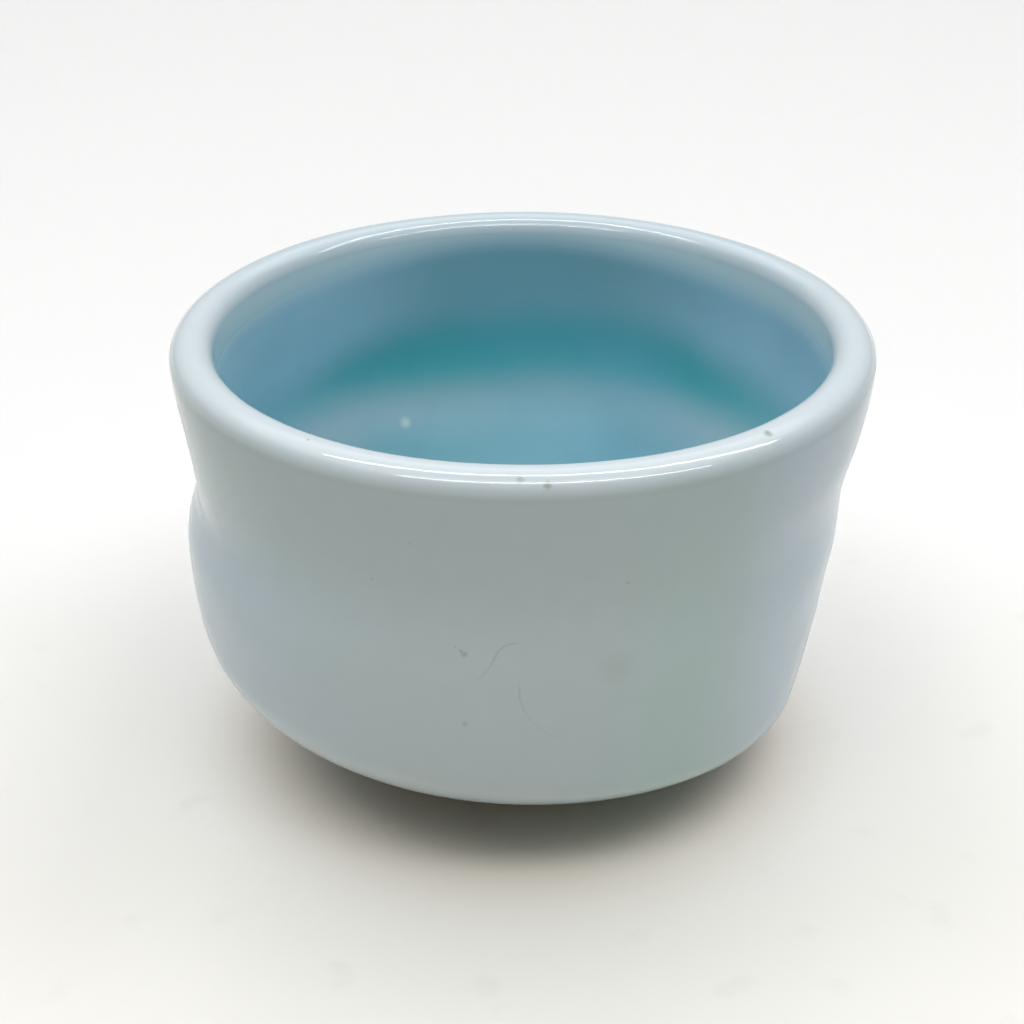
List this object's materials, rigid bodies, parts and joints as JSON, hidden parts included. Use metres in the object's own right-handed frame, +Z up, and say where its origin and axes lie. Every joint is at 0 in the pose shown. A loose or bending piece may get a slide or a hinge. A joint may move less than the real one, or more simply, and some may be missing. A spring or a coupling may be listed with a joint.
{
  "type": "tea bowl",
  "caption": "Hand-pressed tea bowl with a rolled lip, pinched waist and leaning belly on a turned foot ring, pale blue glaze outside and turquoise glaze inside.",
  "frame": {"origin": "on the table, under the centre of the lip", "axes": "+Z up out of the bowl; +X towards the side where the hip sags, -X the way the belly leans; the picture looks along +Y"},
  "size_m": [0.12, 0.12, 0.081],
  "materials": {
    "clay": "fired clay, hidden under the glaze",
    "foot_clay": "bare fired clay, matt, with fine turning marks",
    "pale_glaze": "glossy pale blue-white glaze with a few iron specks",
    "turquoise_glaze": "glossy turquoise glaze, deeper where it has pooled"
  },
  "bodies": {
    "root": {"clay_body": "clay", "foot_ring": "foot_clay", "outer_glaze": "pale_glaze", "inner_glaze": "turquoise_glaze"}
  },
  "joints": []
}
